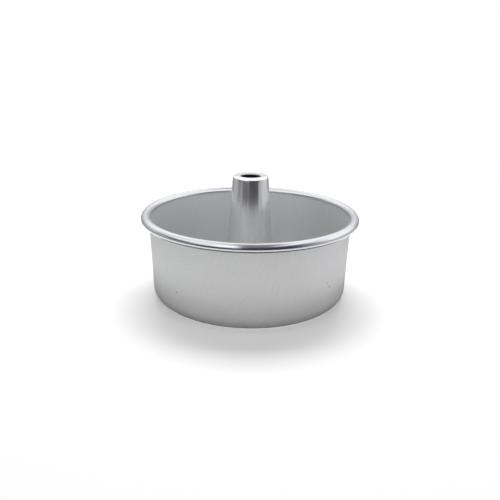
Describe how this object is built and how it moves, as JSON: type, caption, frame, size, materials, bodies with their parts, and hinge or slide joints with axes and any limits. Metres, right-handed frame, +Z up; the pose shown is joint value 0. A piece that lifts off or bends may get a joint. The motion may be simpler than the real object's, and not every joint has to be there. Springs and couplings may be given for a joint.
{
  "type": "angel food cake pan",
  "caption": "Round tube pan with a rolled rim, straight sides and a loose bottom: plate and tapered centre tube lift out together.",
  "frame": {"origin": "on the pan's axis, at the level of the table it stands on", "axes": "+Z up along the axis of the shell and the tube"},
  "size_m": [0.1778, 0.1778, 0.1007],
  "materials": {
    "shell_aluminium": "satin, lightly brushed",
    "plate_aluminium": "satin, lightly brushed",
    "tube_aluminium": "spun, half gloss"
  },
  "bodies": {
    "shell": {"pan_shell": "shell_aluminium"},
    "core": {"base_plate": "plate_aluminium", "centre_tube": "tube_aluminium"}
  },
  "joints": [
    {"name": "core_lift", "type": "slide", "parent": "shell", "child": "core", "axis": [0, 0, 1], "range_m": [0, 0.1]}
  ]
}
